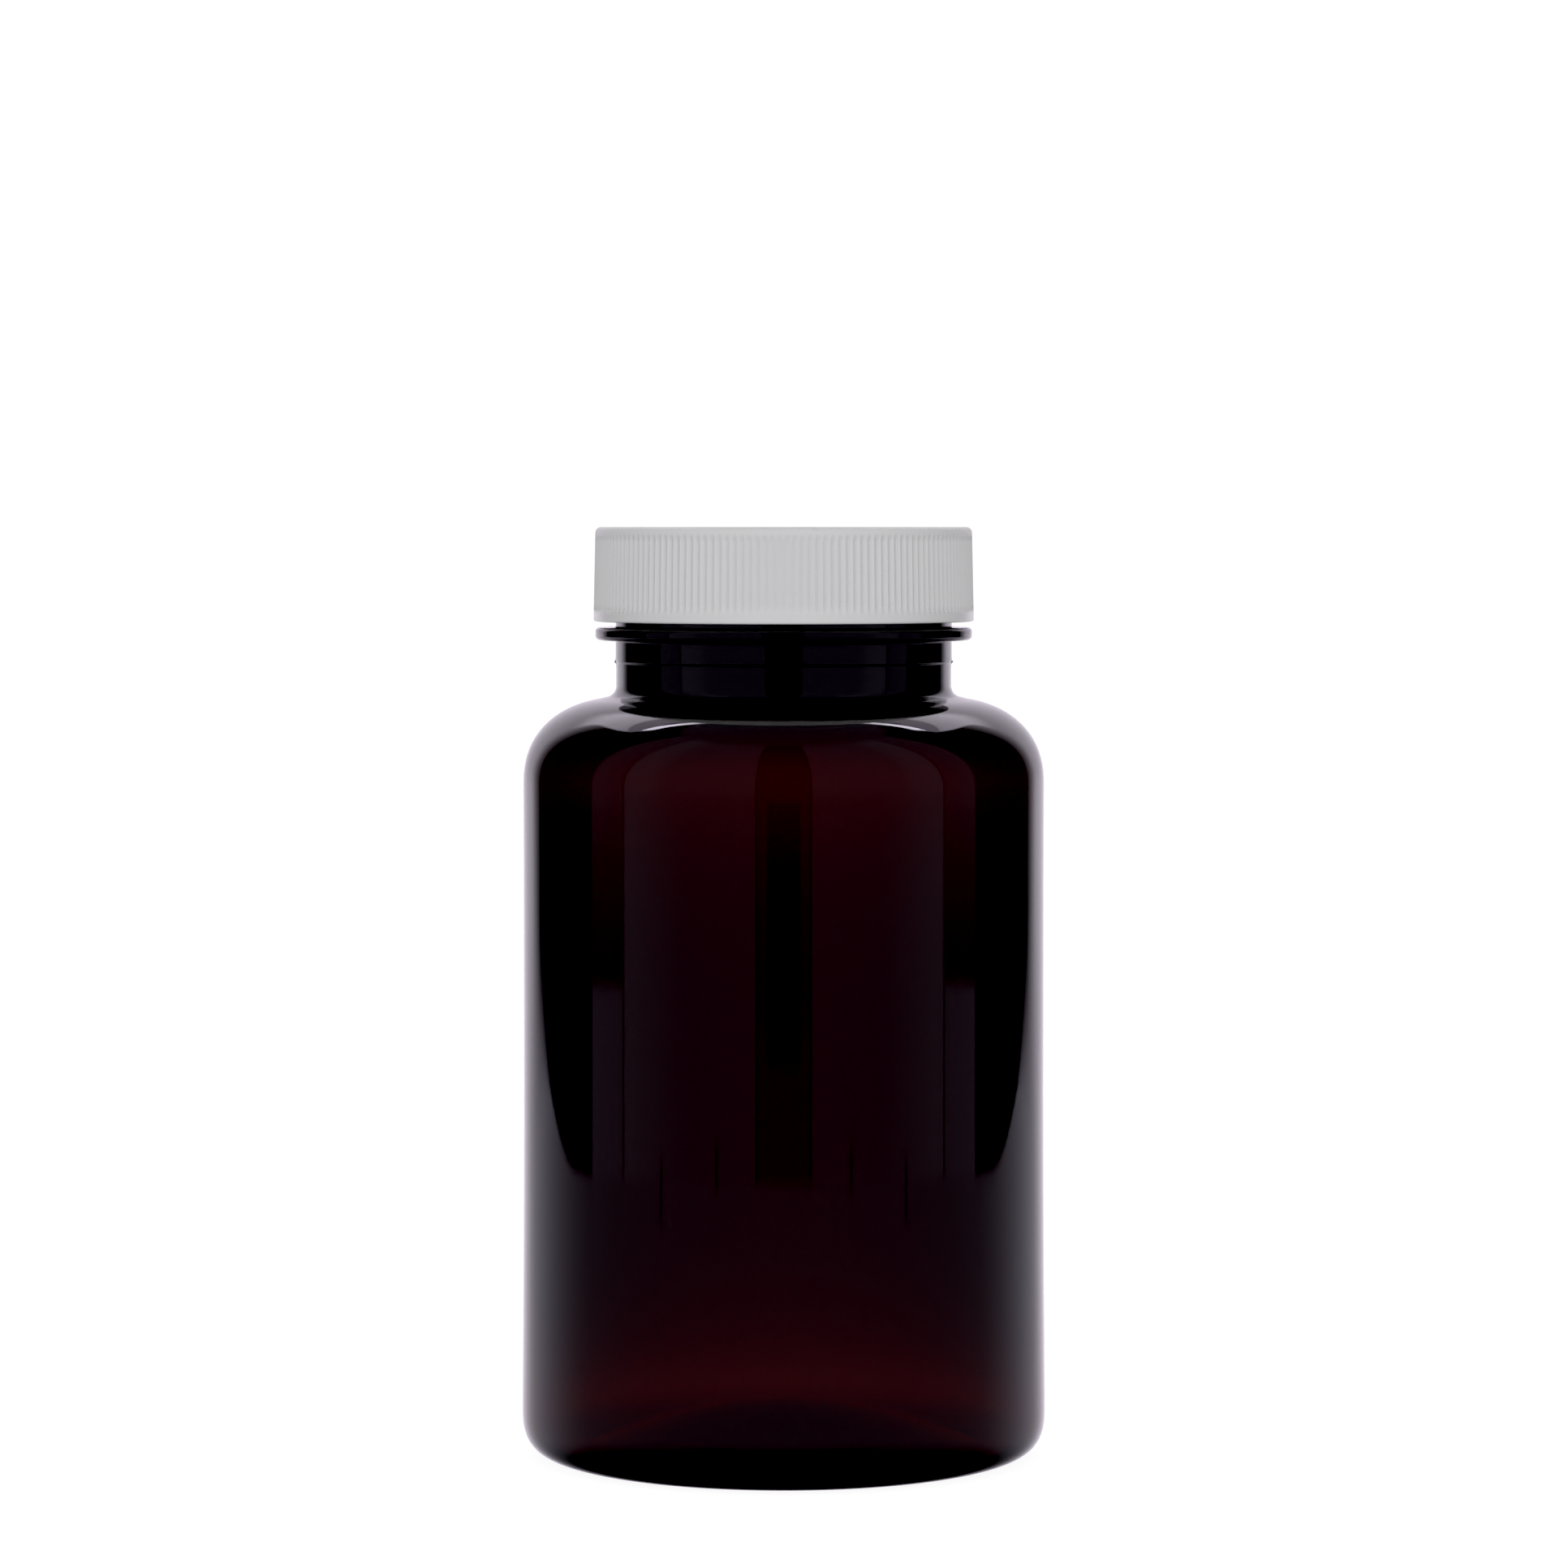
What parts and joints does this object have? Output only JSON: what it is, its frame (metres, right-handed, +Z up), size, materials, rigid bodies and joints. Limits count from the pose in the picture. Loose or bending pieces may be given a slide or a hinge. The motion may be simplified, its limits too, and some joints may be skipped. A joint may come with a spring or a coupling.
{
  "type": "prescription vial",
  "caption": "Dark amber plastic packer bottle for tablets, with a wide screw neck, a finely ribbed white screw cap that unscrews, and a foam liner inside the cap.",
  "frame": {"origin": "centre of the circle that the bottle stands on", "axes": "+Z up along the bottle's axis, out through the mouth and the cap; +X and +Y are alike, because the object is round"},
  "size_m": [0.0656, 0.0656, 0.1163],
  "materials": {
    "amber_pet": "clear, dark amber to maroon brown, polished mould surface",
    "white_polypropylene": "satin, fine vertical ribs round the side",
    "liner_foam": "matt closed-cell polyethylene foam"
  },
  "bodies": {
    "bottle": {"bottle": "amber_pet"},
    "liner": {"liner": "liner_foam"},
    "cap": {"cap": "white_polypropylene"}
  },
  "joints": [
    {"name": "cap_lift", "type": "slide", "parent": "bottle", "child": "liner", "axis": [0, 0, 1], "range_m": [0, 0.0127]},
    {"name": "cap_turn", "type": "hinge", "parent": "liner", "child": "cap", "pos_m": [0, 0, 0.11], "axis": [0, 0, 1], "range_deg": [0, 1080]}
  ],
  "couplings": [
    {"joint": "cap_turn", "follows": "cap_lift", "rad_per_m": 1484.2}
  ]
}
